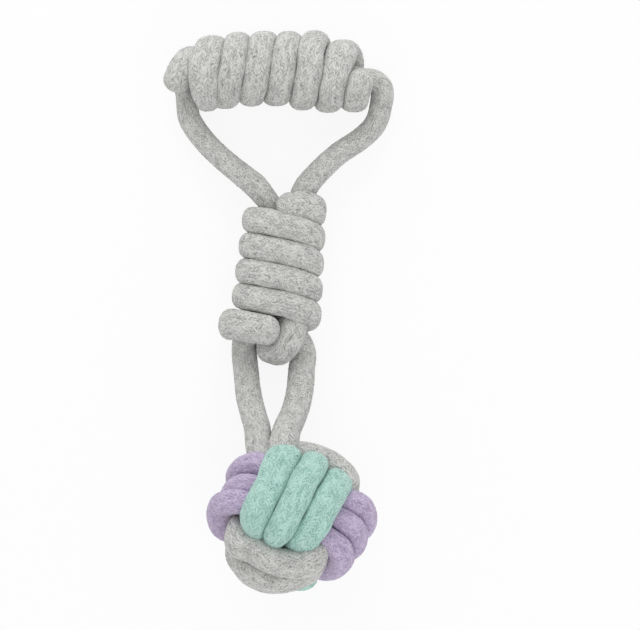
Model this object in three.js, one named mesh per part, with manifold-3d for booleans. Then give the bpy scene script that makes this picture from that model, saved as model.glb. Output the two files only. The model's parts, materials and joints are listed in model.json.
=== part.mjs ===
// Rope dog toy: a hand grip wound in rope, a triangular handle, a wrapped knot,
// a short two-legged loop and a three-colour woven ball, lying flat as it would on a table.
// Millimetres, +Z up, +Y from the ball towards the grip, origin under the middle of the toy.

import * as THREE from 'three';
import { mergeVertices } from 'three/addons/utils/BufferGeometryUtils.js';
import Module from 'manifold-3d';

const wasm = await Module();
wasm.setup();

// Rope
const LEG_ROPE = 9.4; // handle legs, drawn thinner by the pull
const LOOP_ROPE = 10.5; // slack rope between knot and ball
const KNOT_ROPE = 8.4; // the two strands that the knot squeezes
const WOUND_THICK = 9.6; // wound rope, flattened: out from the winding's axis
const WOUND_WIDE = 9.9; // wound rope: along the winding's axis
const CLEARANCE = 0.3; // between neighbouring pieces
const TURN_GAP = 0.85; // between neighbouring turns of a winding

// Grip
const GRIP_TURNS = 7;
const GRIP_CORE = 12.0; // diameter of the strand inside the turns
const GRIP_CORE_RIGHT = 9.0; // and at the last turn, where it comes out
const GRIP_X = 1.8; // middle of the turns
const GRIP_Y = 102.3;
const GRIP_BOW = 3.3; // the grip bows away from the ball by this much
const GRIP_BOW_X = -3.5; // furthest point of the bow
const LOBE_X = -42.5; // furthest left that the first, tucked turn runs
const LOBE_DROP = 4.6; // how far that turn is drawn in

// Knot
const KNOT_TOP_Y = 36.3; // the first whole turn, on the front
const KNOT_TOP_TUCK = 0.02; // turn at which the winding comes out at the top
const KNOT_LOW_TUCK = 4.98; // and goes in at the bottom
const KNOT_SAG = 0.9; // 0 is an even climb, 1 runs level on the left of the front
const KNOT_TILT = 5.1; // degrees, top towards +X
const KNOT_X = -1.3; // X of the knot's axis at Y = 0
const KNOT_TAIL_START = 4.45; // turn from which the winding's tail leaves the oval
const KNOT_TAIL_SPREAD = 4.6; // the last half turn bulges out by this much
const KNOT_SPREAD_TURNS = 0.3; // within this share of a turn
const KNOT_TAIL_LIFT = 2.2; // and rises over the leg by this much
const KNOT_LIFT_START = 4.65; // from this turn on

// Ball
const BALL_X = 5.2;
const BALL_Y = -85.9;
const BALL_TILT = -24; // degrees about X
const BALL_TURN = -25; // degrees about Z
const BALL_PASSES = 3; // strands side by side in each colour
const BALL_ROPE = 10.4; // rope where it shows
const BALL_UNDER_WIDE = 6.9; // rope squeezed under the next colour
const BALL_UNDER_THICK = 5.6;
const BALL_STRAND_GAP = 0.75;
const BALL_UNDER_RADIUS = 19.0; // centre of a strand that passes under
const MINT_RADIUS = 28.6; // centre of a strand that shows, colour by colour
const LILAC_RADIUS = 30.2;
const GREY_RADIUS = 28.4;
const BALL_DIVE_START = 23; // degrees from the middle of a face where a strand starts to dive
const BALL_DIVE_END = 70; // and where it is fully under
const BALL_SQUEEZE_START = 22; // degrees from the middle of a face where a strand starts to thin
const BALL_SQUEEZE_END = 43; // and where it is as thin as it gets
const BALL_SHIFT = 44; // degrees either side of a hidden pass in which a strand moves over by one

// Folds: lines along X on which the rope bends
const GRIP_FOLD_Y = 82;
const GRIP_FOLD_Z = 9.2;
const HANDLE_FOLD_Y = 56.5;
const HANDLE_FOLD_Z = 13.2;
const LOOP_FOLD_Y = -28.8;
const LOOP_FOLD_Z = 12.4;
const BALL_FOLD_Y = -49;
const BALL_FOLD_Z = 26.4;

// Facets
const ROPE_SIDES = 10;
const ROUTE_STEP = 6; // length of a step along a plain rope
const WOUND_SIDES = 8;
const STEPS_PER_TURN = 24;
const CAP_RINGS = 3;

// Colours
const GREY = 0xc3c3c0;
const MINT = 0xa8d3c6;
const LILAC = 0xb5a3cb;
const FIBRE = 0xd9d5cc;

const { clamp, degToRad, lerp, smoothstep } = THREE.MathUtils;
const UP = new THREE.Vector3(0, 0, 1);
const vec = (x, y, z) => new THREE.Vector3(x, y, z);

const toy = new THREE.Group();
toy.name = 'rope_dog_toy';

function addPiece(name, geometry, colour) {
  const cotton = new THREE.MeshStandardMaterial({ color: colour, roughness: 0.95, metalness: 0 });
  const mesh = new THREE.Mesh(geometry, cotton);
  mesh.name = name;
  toy.add(mesh);
}

// A rope is a row of stations: its centre, the way out of the winding and its two widths.
// This gives each one the half-axis vectors of its oval section, square to the run.
function sections(stations) {
  const last = stations.length - 1;
  return stations.map((station, i) => {
    const before = stations[Math.max(i - 1, 0)].point;
    const after = stations[Math.min(i + 1, last)].point;
    const along = after.clone().sub(before).normalize();
    const out = station.out.clone().addScaledVector(along, -station.out.dot(along)).normalize();
    const across = along.clone().cross(out);
    return {
      point: station.point,
      along,
      out: out.multiplyScalar(station.thick / 2),
      across: across.multiplyScalar(station.wide / 2),
    };
  });
}

// Rings that shrink to a pole and give a rope a round end.
function roundEnd(end, outward) {
  const reach = (end.out.length() + end.across.length()) / 2;
  const rings = [];
  for (let i = 1; i <= CAP_RINGS; i += 1) {
    const angle = (i / (CAP_RINGS + 1)) * (Math.PI / 2);
    rings.push({
      point: end.point.clone().addScaledVector(end.along, outward * reach * Math.sin(angle)),
      out: end.out.clone().multiplyScalar(Math.cos(angle)),
      across: end.across.clone().multiplyScalar(Math.cos(angle)),
    });
  }
  return { rings, pole: end.point.clone().addScaledVector(end.along, outward * reach) };
}

const ROUND_BOTH = { roundFirst: true, roundLast: true };

// Skins a row of stations as one closed tube, with flat or round ends.
function ropeTube(stations, sides, { roundFirst = false, roundLast = false, grow = 0 } = {}) {
  const grown = stations.map((s) => ({ ...s, thick: s.thick + 2 * grow, wide: s.wide + 2 * grow }));
  let rings = sections(grown);
  let firstPole = rings[0].point;
  let lastPole = rings[rings.length - 1].point;
  if (roundFirst) {
    const cap = roundEnd(rings[0], -1);
    rings = [...cap.rings.reverse(), ...rings];
    firstPole = cap.pole;
  }
  if (roundLast) {
    const cap = roundEnd(rings[rings.length - 1], 1);
    rings = [...rings, ...cap.rings];
    lastPole = cap.pole;
  }
  const positions = [];
  for (const ring of rings) {
    for (let j = 0; j < sides; j += 1) {
      const angle = ((j + 0.5) / sides) * 2 * Math.PI;
      const corner = ring.point.clone().addScaledVector(ring.out, Math.cos(angle));
      corner.addScaledVector(ring.across, Math.sin(angle));
      positions.push(...corner);
    }
  }
  positions.push(...firstPole, ...lastPole);
  const indices = [];
  for (let i = 0; i < rings.length - 1; i += 1) {
    for (let j = 0; j < sides; j += 1) {
      const here = i * sides + j;
      const next = i * sides + ((j + 1) % sides);
      indices.push(here, next, here + sides, next, next + sides, here + sides);
    }
  }
  const lastRing = (rings.length - 1) * sides;
  const firstPoleIndex = rings.length * sides;
  for (let j = 0; j < sides; j += 1) {
    const k = (j + 1) % sides;
    indices.push(firstPoleIndex, k, j);
    indices.push(firstPoleIndex + 1, lastRing + j, lastRing + k);
  }
  const geometry = new THREE.BufferGeometry();
  geometry.setAttribute('position', new THREE.Float32BufferAttribute(positions, 3));
  geometry.setIndex(indices);
  return geometry;
}

// The least gap of a wound rope to itself, over stations at least half a turn apart: the distance
// of their centres, less what the two oval sections take up on that line.
function printLeastGap(name, stations) {
  const rings = sections(stations);
  let least = Infinity;
  for (let i = 0; i < rings.length; i += 1) {
    for (let j = i + STEPS_PER_TURN / 2; j < rings.length; j += 1) {
      const line = rings[j].point.clone().sub(rings[i].point);
      const distance = line.length();
      line.divideScalar(distance);
      const [a, b] = [rings[i], rings[j]].map((r) => Math.hypot(r.out.dot(line), r.across.dot(line)));
      least = Math.min(least, distance - a - b);
    }
  }
  console.log(`${name}: least gap to itself ${least.toFixed(2)} mm`);
}

// A rope on a smooth curve through hand-chosen points [x, y, z, diameter].
function routeStations(points) {
  const curve = new THREE.CatmullRomCurve3(points.map((p) => vec(...p)), false, 'centripetal');
  const steps = Math.round(curve.getLength() / ROUTE_STEP);
  const stations = [];
  for (let i = 0; i <= steps; i += 1) {
    const share = curve.getUtoTmapping(i / steps);
    const place = share * (points.length - 1);
    const k = Math.min(Math.floor(place), points.length - 2);
    const width = lerp(points[k][3], points[k + 1][3], place - k);
    stations.push({ point: curve.getPoint(share), out: UP, thick: width, wide: width });
  }
  return stations;
}

// Joining and cutting
function toSolid(geometry) {
  const bare = geometry.clone();
  bare.deleteAttribute('normal');
  bare.deleteAttribute('uv');
  const merged = mergeVertices(bare, 1e-5);
  return new wasm.Manifold(new wasm.Mesh({
    numProp: 3,
    vertProperties: new Float32Array(merged.attributes.position.array),
    triVerts: new Uint32Array(merged.index.array),
  }));
}

function toGeometry(solid) {
  const mesh = solid.getMesh();
  const geometry = new THREE.BufferGeometry();
  geometry.setAttribute('position', new THREE.Float32BufferAttribute(mesh.vertProperties, 3));
  geometry.setIndex(Array.from(mesh.triVerts));
  return geometry;
}

// Cuts a piece by its grown neighbours and keeps the body that is left.
function seat(geometry, neighbours) {
  const cut = neighbours.reduce((solid, near) => solid.subtract(toSolid(near)), toSolid(geometry));
  return toGeometry(cut.decompose().reduce((a, b) => (a.volume() >= b.volume() ? a : b)));
}

// The room that a rope takes up with its clearance, for cutting a neighbour.
function roomFor(stations, sides) {
  return ropeTube(stations, sides, { ...ROUND_BOTH, grow: CLEARANCE });
}

// Cuts a rest flat at the table.
const TABLE_SIZE = 400;
const TABLE_DEPTH = 60;

function cutFlat(geometry) {
  const table = new THREE.BoxGeometry(TABLE_SIZE, TABLE_SIZE, TABLE_DEPTH);
  table.translate(0, 0, -TABLE_DEPTH / 2);
  return seat(geometry, [table]);
}

const FLAT_CUT = WOUND_THICK / 10;
const TURN_PITCH = WOUND_WIDE + TURN_GAP;

// Grip: the strand's axis bows, and the winding climbs round it from left to right.
const GRIP_HALF = ((GRIP_TURNS - 1) * TURN_PITCH) / 2;
const GRIP_Z = GRIP_CORE / 2 + CLEARANCE + WOUND_THICK - FLAT_CUT;
const GRIP_FIRST = -0.07; // turn at which the winding starts, tucked over the left leg
const GRIP_LAST = GRIP_TURNS - 0.02; // and ends, tucked beside the right leg
const LOBE_CURL = 28; // how sharply the first turn curls back
const LOBE_HELD = 0.15; // turn up to which it curls
const LOBE_FREE = 0.75; // turn from which it is wound like the others

function gripAxis(x) {
  const held = clamp(x, GRIP_X - GRIP_HALF, GRIP_X + GRIP_HALF);
  return vec(x, GRIP_Y - GRIP_BOW * ((held - GRIP_BOW_X) / GRIP_HALF) ** 2, GRIP_Z);
}

function gripCore(x) {
  const toRight = clamp((x - GRIP_X) / GRIP_HALF, 0, 1);
  return lerp(GRIP_CORE, GRIP_CORE_RIGHT, toRight ** 2);
}

function gripWinding() {
  const stations = [];
  const steps = Math.round((GRIP_LAST - GRIP_FIRST) * STEPS_PER_TURN);
  for (let i = 0; i <= steps; i += 1) {
    const turn = lerp(GRIP_FIRST, GRIP_LAST, i / steps);
    const helix = GRIP_X - GRIP_HALF + (turn - 1) * TURN_PITCH;
    const curl = LOBE_X + LOBE_CURL * turn * turn;
    const freed = smoothstep(turn, LOBE_HELD, LOBE_FREE);
    const x = lerp(curl, helix, freed);
    const angle = degToRad(90 - 360 * turn);
    const out = vec(0, Math.cos(angle), Math.sin(angle));
    const drawnIn = LOBE_DROP * (1 - freed);
    const radius = gripCore(x) / 2 + CLEARANCE + WOUND_THICK / 2 - drawnIn;
    const point = gripAxis(x).addScaledVector(out, radius);
    stations.push({ point, out, thick: WOUND_THICK, wide: WOUND_WIDE });
  }
  return stations;
}

const gripTurns = gripWinding();
printLeastGap('grip_winding', gripTurns);
const gripTube = ropeTube(gripTurns, WOUND_SIDES, ROUND_BOTH);
addPiece('grip_winding', cutFlat(gripTube), GREY);

// The strand runs up the left side, through the winding and down the right side.
const GRIP_LEFT_ROUTE = [
  [-39.8, 87.4, 8.8, 9.0],
  [-40.8, 89.8, 8.6, 8.4],
  [-42.2, 92.8, 9.0, 7.8],
  [-42.6, 95.4, 9.8, 7.6],
  [-41.6, 98.2, 11.0, 7.4],
  [-38.6, 99.8, 12.4, 7.6],
];
const GRIP_RIGHT_ROUTE = [
  [40.0, 97.6, 14.5, 8.2],
  [43.2, 94.6, 13.0, 8.8],
  [44.1, 90.6, 11.2, 9.2],
  [43.1, 86.9, 9.8, 9.2],
];
const CORE_STOPS = [-34.5, -23, -11, 2, 14, 26, 35];

function gripStrand() {
  const core = CORE_STOPS.map((x) => [...gripAxis(x), gripCore(x)]);
  return routeStations([...GRIP_LEFT_ROUTE, ...core, ...GRIP_RIGHT_ROUTE]);
}

const gripRoom = roomFor(gripTurns, WOUND_SIDES);
addPiece('grip_strand', seat(ropeTube(gripStrand(), ROPE_SIDES), [gripRoom]), GREY);

// Handle: two legs, round where they bend at the grip and at the knot.
const LEFT_LEG_ROUTE = [
  [-38.8, GRIP_FOLD_Y, GRIP_FOLD_Z, LEG_ROPE],
  [-36.0, 77.3, 9.7, LEG_ROPE],
  [-31.3, 71.4, 10.7, LEG_ROPE],
  [-23.9, 64.3, 12.4, LEG_ROPE],
  [-14.0, HANDLE_FOLD_Y, HANDLE_FOLD_Z, LEG_ROPE],
];
const RIGHT_LEG_ROUTE = [
  [41.7, GRIP_FOLD_Y, GRIP_FOLD_Z, LEG_ROPE],
  [39.4, 77.6, 9.7, LEG_ROPE],
  [34.3, 72.8, 10.5, LEG_ROPE],
  [24.4, 66.0, 12.3, LEG_ROPE],
  [14.0, HANDLE_FOLD_Y, HANDLE_FOLD_Z, LEG_ROPE],
];

addPiece('handle_leg_left', ropeTube(routeStations(LEFT_LEG_ROUTE), ROPE_SIDES, ROUND_BOTH), GREY);
addPiece('handle_leg_right', ropeTube(routeStations(RIGHT_LEG_ROUTE), ROPE_SIDES, ROUND_BOTH), GREY);

// Knot: the winding follows an oval round two strands that lie side by side.
const KNOT_AXIS = vec(Math.tan(degToRad(KNOT_TILT)), 1, 0).normalize();
const KNOT_SIDE = vec(KNOT_AXIS.y, -KNOT_AXIS.x, 0);
const KNOT_BEND = KNOT_ROPE / 2 + CLEARANCE + WOUND_THICK / 2; // radius of the oval's round sides
const KNOT_Z = KNOT_BEND + WOUND_THICK / 2 - FLAT_CUT;
const KNOT_PAIR = (KNOT_ROPE + CLEARANCE) / 2; // each strand's distance from the axis

function knotAxis(y) {
  return vec(KNOT_X, 0, KNOT_Z).addScaledVector(KNOT_AXIS, y / KNOT_AXIS.y);
}

// A point on the oval by the share of a turn, from the middle of the front to the right and round.
function ovalAt(share, spread) {
  const flat = KNOT_PAIR;
  const bend = KNOT_BEND;
  const round = Math.PI * bend;
  const whole = 2 * round + 4 * flat;
  const run = (share - Math.floor(share)) * whole;
  const corner = (side, angle) => ({
    side: side * (flat + (side < 0 ? spread : 0)) + bend * Math.cos(angle),
    up: bend * Math.sin(angle),
    angle,
  });
  if (run < flat) {
    return { side: run, up: bend, angle: Math.PI / 2 };
  }
  if (run < flat + round) {
    return corner(1, Math.PI / 2 - (run - flat) / bend);
  }
  if (run < 3 * flat + round) {
    return { side: 2 * flat + round - run, up: -bend, angle: -Math.PI / 2 };
  }
  if (run < 3 * flat + 2 * round) {
    return corner(-1, -Math.PI / 2 - (run - 3 * flat - round) / bend);
  }
  const left = (whole - run) / flat;
  return { side: -left * (flat + spread), up: bend, angle: Math.PI / 2 };
}

function knotWinding() {
  const stations = [];
  const steps = Math.round((KNOT_LOW_TUCK - KNOT_TOP_TUCK) * STEPS_PER_TURN);
  for (let i = 0; i <= steps; i += 1) {
    const turn = lerp(KNOT_TOP_TUCK, KNOT_LOW_TUCK, i / steps);
    const spreadEnd = KNOT_TAIL_START + KNOT_SPREAD_TURNS;
    const spread = KNOT_TAIL_SPREAD * smoothstep(turn, KNOT_TAIL_START, spreadEnd);
    const lift = KNOT_TAIL_LIFT * smoothstep(turn, KNOT_LIFT_START, KNOT_LOW_TUCK);
    const oval = ovalAt(turn, spread);
    const out = KNOT_SIDE.clone().multiplyScalar(Math.cos(oval.angle));
    out.addScaledVector(UP, Math.sin(oval.angle));
    const sag = (KNOT_SAG * (1 - Math.cos(2 * Math.PI * turn))) / (2 * Math.PI);
    const point = knotAxis(KNOT_TOP_Y - (turn - 1 + sag) * TURN_PITCH);
    point.addScaledVector(KNOT_SIDE, oval.side).addScaledVector(UP, oval.up + lift);
    stations.push({ point, out, thick: WOUND_THICK, wide: WOUND_WIDE });
  }
  return stations;
}

const knotTurns = knotWinding();
printLeastGap('knot_winding', knotTurns);
const knotTube = ropeTube(knotTurns, WOUND_SIDES, ROUND_BOTH);
addPiece('knot_winding', cutFlat(knotTube), GREY);

// The two strands come in from the handle, run side by side and spread into the loop below.
const SQUEEZED_STOPS = [42, 37, 28, 19, 10, 3];
const LEFT_STRAND_TOP = [
  [-10.0, 53.2, 13.4, LEG_ROPE],
  [-6.4, 49.0, 13.6, 8.8],
];
const LEFT_STRAND_LOW = [
  [-8.4, -7.6, 11.9, 9.0],
  [-12.0, -12.4, 9.8, 9.8],
  [-13.9, -17.6, 9.0, LOOP_ROPE],
  [-13.4, -23.7, 10.2, LOOP_ROPE],
];
const RIGHT_STRAND_TOP = [
  [10.4, 52.6, 13.4, LEG_ROPE],
  [8.0, 48.6, 13.6, 8.6],
];
const RIGHT_STRAND_LOW = [
  [5.2, -7.6, 11.9, 9.0],
  [8.6, -12.4, 9.8, 9.8],
  [10.3, -17.6, 9.0, LOOP_ROPE],
  [9.3, -23.7, 10.2, LOOP_ROPE],
];

function knotStrand(top, low, side) {
  const squeezed = SQUEEZED_STOPS.map((y) => {
    return [...knotAxis(y).addScaledVector(KNOT_SIDE, side * KNOT_PAIR), KNOT_ROPE];
  });
  return routeStations([...top, ...squeezed, ...low]);
}

const leftStrand = knotStrand(LEFT_STRAND_TOP, LEFT_STRAND_LOW, -1);
const rightStrand = knotStrand(RIGHT_STRAND_TOP, RIGHT_STRAND_LOW, 1);
const knotRoom = roomFor(knotTurns, WOUND_SIDES);
addPiece('knot_strand_left', seat(ropeTube(leftStrand, ROPE_SIDES), [knotRoom]), GREY);
addPiece('knot_strand_right', seat(ropeTube(rightStrand, ROPE_SIDES), [knotRoom]), GREY);

// A bight comes out under the last turn, dips between the loop's legs and tucks under the tail.
const TUCK_ROUTE = [
  [7.6, 0.8, 18.6, 9.8],
  [6.4, -5.2, 20.0, 10.4],
  [3.8, -11.4, 19.2, 11.0],
  [0.2, -16.0, 17.0, 11.0],
  [-4.0, -15.8, 14.4, 10.4],
];
const tuckTube = ropeTube(routeStations(TUCK_ROUTE), ROPE_SIDES, { roundLast: true });
const strandRooms = [leftStrand, rightStrand].map((strand) => roomFor(strand, ROPE_SIDES));
addPiece('knot_tuck', seat(tuckTube, [knotRoom, ...strandRooms]), GREY);

// Loop: two legs, round where they bend at the knot and at the ball.
const LOOP_LEFT_ROUTE = [
  [-12.9, LOOP_FOLD_Y, LOOP_FOLD_Z, LOOP_ROPE],
  [-12.0, -35.6, 16.6, LOOP_ROPE],
  [-10.4, -42.4, 21.4, LOOP_ROPE],
  [-9.2, BALL_FOLD_Y, BALL_FOLD_Z, LOOP_ROPE],
];
const LOOP_RIGHT_ROUTE = [
  [8.7, LOOP_FOLD_Y, LOOP_FOLD_Z, LOOP_ROPE],
  [8.2, -35.6, 16.6, LOOP_ROPE],
  [6.5, -42.4, 21.4, LOOP_ROPE],
  [4.0, BALL_FOLD_Y, BALL_FOLD_Z, LOOP_ROPE],
];

addPiece('loop_leg_left', ropeTube(routeStations(LOOP_LEFT_ROUTE), ROPE_SIDES, ROUND_BOTH), GREY);
addPiece('loop_leg_right', ropeTube(routeStations(LOOP_RIGHT_ROUTE), ROPE_SIDES, ROUND_BOTH), GREY);

// Ball: each colour goes round three times, over the next colour on two faces and under the
// one before on two, so that the three hold each other.
const BALL_OVER_PITCH = BALL_ROPE + BALL_STRAND_GAP;
const BALL_UNDER_PITCH = BALL_UNDER_WIDE + BALL_STRAND_GAP;
const BALL_Z = MINT_RADIUS + BALL_ROPE / 2 - BALL_ROPE / 8;
const BALL_CENTRE = vec(BALL_X, BALL_Y, BALL_Z);
const BALL_POSE = new THREE.Euler(degToRad(BALL_TILT), 0, degToRad(BALL_TURN), 'ZYX');

// Angle from the middle of the nearer face on which the strand shows, 0 to 90 degrees.
function fromFace(angle) {
  const folded = ((angle % 180) + 180) % 180;
  return Math.min(folded, 180 - folded);
}

function ballWinding(over, under, aside, radius) {
  const stations = [];
  const steps = BALL_PASSES * STEPS_PER_TURN;
  for (let i = 0; i <= steps; i += 1) {
    const turn = lerp(0, BALL_PASSES, i / steps);
    const angle = 90 + 360 * turn;
    const shown = 1 - smoothstep(fromFace(angle), BALL_DIVE_START, BALL_DIVE_END);
    const full = 1 - smoothstep(fromFace(angle), BALL_SQUEEZE_START, BALL_SQUEEZE_END);
    const pass = Math.round(turn);
    const moved = smoothstep(360 * (turn - pass), -BALL_SHIFT, BALL_SHIFT);
    const strand = pass - 1 + moved - (BALL_PASSES - 1) / 2;
    const offset = strand * lerp(BALL_UNDER_PITCH, BALL_OVER_PITCH, full);
    const reach = Math.sqrt(lerp(BALL_UNDER_RADIUS, radius, shown) ** 2 - offset ** 2);
    const point = over.clone().multiplyScalar(reach * Math.cos(degToRad(angle)));
    point.addScaledVector(under, reach * Math.sin(degToRad(angle))).addScaledVector(aside, offset);
    stations.push({
      point,
      out: point.clone().normalize(),
      thick: lerp(BALL_UNDER_THICK, BALL_ROPE, full),
      wide: lerp(BALL_UNDER_WIDE, BALL_ROPE, full),
    });
  }
  return stations.map((s) => ({
    ...s,
    point: s.point.applyEuler(BALL_POSE).add(BALL_CENTRE),
    out: s.out.applyEuler(BALL_POSE),
  }));
}

const AXES = [vec(1, 0, 0), vec(0, 1, 0), vec(0, 0, 1)];
const mintTurns = ballWinding(AXES[2], AXES[1], AXES[0], MINT_RADIUS);
const lilacTurns = ballWinding(AXES[0], AXES[2], AXES[1], LILAC_RADIUS);
const greyTurns = ballWinding(AXES[1], AXES[0], AXES[2], GREY_RADIUS);
const ballRopes = { mint: mintTurns, lilac: lilacTurns, grey: greyTurns };
const ballColours = { mint: MINT, lilac: LILAC, grey: GREY };
for (const [colour, turns] of Object.entries(ballRopes)) {
  const name = `ball_${colour}_winding`;
  printLeastGap(name, turns);
  addPiece(name, cutFlat(ropeTube(turns, WOUND_SIDES)), ballColours[colour]);
}

const CORE_SEGMENTS = 20;
const CORE_RADIUS = BALL_UNDER_RADIUS - BALL_UNDER_THICK / 2 - CLEARANCE;
const core = new THREE.SphereGeometry(CORE_RADIUS, CORE_SEGMENTS, CORE_SEGMENTS / 2);
core.translate(...BALL_CENTRE);
addPiece('ball_core', core, FIBRE);

// The loop's two legs go on into a corner of the weave, where the three colours leave a hole.
const NECK_LEFT_ROUTE = [
  [-8.6, -53.3, 29.9, LOOP_ROPE],
  [-8.0, -57.2, 33.0, LOOP_ROPE],
  [-6.8, -61.0, 35.6, 9.8],
  [-5.0, -64.6, 37.4, 9.0],
];
const NECK_RIGHT_ROUTE = [
  [3.1, -53.0, 30.2, LOOP_ROPE],
  [2.4, -56.6, 34.2, LOOP_ROPE],
  [1.8, -60.2, 37.4, 9.8],
  [1.4, -63.8, 39.0, 9.0],
];
const ballRooms = Object.values(ballRopes).map((turns) => roomFor(turns, WOUND_SIDES));
const leftNeck = routeStations(NECK_LEFT_ROUTE);
const rightNeck = routeStations(NECK_RIGHT_ROUTE);
const rightRooms = [...ballRooms, roomFor(leftNeck, ROPE_SIDES)];
addPiece('neck_strand_left', seat(ropeTube(leftNeck, ROPE_SIDES), ballRooms), GREY);
addPiece('neck_strand_right', seat(ropeTube(rightNeck, ROPE_SIDES), rightRooms), GREY);

// The origin is under the middle of the toy.
const bounds = new THREE.Box3().setFromObject(toy);
const middle = bounds.getCenter(vec(0, 0, 0));
toy.position.set(-middle.x, -middle.y, -bounds.min.z);

export default toy;
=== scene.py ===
"""Rope dog toy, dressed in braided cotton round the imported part.

The toy has a rope-wound grip, a triangular handle, a wrapped knot, a loop of two legs and a ball
woven from three colours. Sizes and places are in millimetres in the part's drawing frame, with +Z
up and +Y from the ball towards the grip, and become metres in the row frame as a mesh is made.
"""

import json
import logging
import math
from collections.abc import Sequence
from dataclasses import dataclass, field, replace
from enum import Enum
from typing import Self

import bmesh
import bpy
import numpy as np
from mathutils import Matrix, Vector

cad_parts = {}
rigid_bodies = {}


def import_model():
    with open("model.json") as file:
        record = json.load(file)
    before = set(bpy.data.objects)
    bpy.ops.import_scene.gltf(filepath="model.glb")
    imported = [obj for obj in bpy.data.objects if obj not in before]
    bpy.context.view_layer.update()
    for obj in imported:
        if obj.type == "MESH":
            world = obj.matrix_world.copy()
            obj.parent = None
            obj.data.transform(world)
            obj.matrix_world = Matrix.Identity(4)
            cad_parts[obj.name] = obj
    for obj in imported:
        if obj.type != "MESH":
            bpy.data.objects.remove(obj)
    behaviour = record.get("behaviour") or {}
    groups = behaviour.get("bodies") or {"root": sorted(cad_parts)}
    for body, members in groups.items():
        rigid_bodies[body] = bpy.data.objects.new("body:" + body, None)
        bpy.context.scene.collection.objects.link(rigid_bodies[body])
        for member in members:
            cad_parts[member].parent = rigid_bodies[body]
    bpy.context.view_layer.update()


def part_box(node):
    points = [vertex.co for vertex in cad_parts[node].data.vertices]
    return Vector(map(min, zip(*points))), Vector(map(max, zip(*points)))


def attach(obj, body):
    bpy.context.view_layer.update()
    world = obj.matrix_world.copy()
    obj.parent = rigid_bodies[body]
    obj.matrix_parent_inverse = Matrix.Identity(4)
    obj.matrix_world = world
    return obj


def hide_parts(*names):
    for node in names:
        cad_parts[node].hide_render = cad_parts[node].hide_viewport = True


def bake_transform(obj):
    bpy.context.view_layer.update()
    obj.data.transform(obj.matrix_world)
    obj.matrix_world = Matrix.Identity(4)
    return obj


LOG = logging.getLogger("rope_toy")

MM = 0.001  # metres in a millimetre
BRAID_MAP = "braid"  # the rope's own lay: columns round it and stitches along it
BAKE_MAP = "OFBake"  # the rope's skin laid flat in rows, for textures
WHITE = (1.0, 1.0, 1.0, 1.0)
ROUND_POWER = 2.1  # of a slack rope's section, where 2 is an oval and more is squarer

Stop = tuple[float, float, float, float]  # x, y, z and the rope's diameter there
Rgb = tuple[int, int, int]  # as a screen shows it, 0 to 255


class Body(Enum):
    """The part's moving bodies."""

    KNOT = "knot"
    HANDLE = "handle"
    GRIP = "grip"
    LOOP = "loop"
    BALL = "ball"


class RopeEnd(Enum):
    """How a length of rope ends."""

    FLAT = "flat"
    ROUND = "round"


def linear(colour: Rgb) -> tuple[float, float, float, float]:
    """Turns a screen colour into the linear one that a shader takes.

    Args:
        colour: Red, green and blue, 0 to 255.

    Returns:
        Linear red, green and blue with an alpha of 1.
    """
    parts = [c / 255 for c in colour]
    red, green, blue = [p / 12.92 if p <= 0.04045 else ((p + 0.055) / 1.055) ** 2.4 for p in parts]
    return red, green, blue, 1.0


def ramp(value: np.ndarray | float, low: float, high: float) -> np.ndarray:
    """Rises smoothly from 0 at low to 1 at high.

    Args:
        value: Where to read the ramp.
        low: Where it starts.
        high: Where it ends.

    Returns:
        The ramp's height, 0 to 1.
    """
    share = np.clip((np.asarray(value, float) - low) / (high - low), 0, 1)
    return share * share * (3 - 2 * share)


def mixed(first: np.ndarray | float, second: np.ndarray | float, share: np.ndarray) -> np.ndarray:
    """Goes from first to second as share goes from 0 to 1."""
    return first + (second - first) * share


def unit(vectors: np.ndarray) -> np.ndarray:
    """Scales each row to a length of 1."""
    return vectors / np.linalg.norm(vectors, axis=-1, keepdims=True)


def wander(run: np.ndarray, seed: int, wavelength: float) -> np.ndarray:
    """Wobbles smoothly along a rope, mostly between -1 and 1 and the same on every run.

    Args:
        run: Distances along the rope.
        seed: Picks the wobble.
        wavelength: Length of its main wave.

    Returns:
        The wobble at each distance.
    """
    chance = np.random.default_rng(seed)
    total = np.zeros_like(run)
    for stretch in (1.0, 0.61, 0.37):
        phase = chance.uniform(0, 2 * math.pi)
        total += np.sin(2 * math.pi * run / (wavelength * stretch) + phase)
    return total / 2


def placed(name: str, data: bpy.types.ID) -> bpy.types.Object:
    """Makes an object and puts it in the scene.

    Args:
        name: The object's name.
        data: Its mesh, light or camera.

    Returns:
        The object.
    """
    made = bpy.data.objects.new(name, data)
    bpy.context.scene.collection.objects.link(made)
    return made


# Rope lines


@dataclass(frozen=True)
class Wobble:
    """How a rope strays from a regular lay."""

    seed: int
    sway: float  # how far the centre line moves to a side
    swell: float  # share by which the widths change
    wavelength: float  # of its main wave


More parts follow.
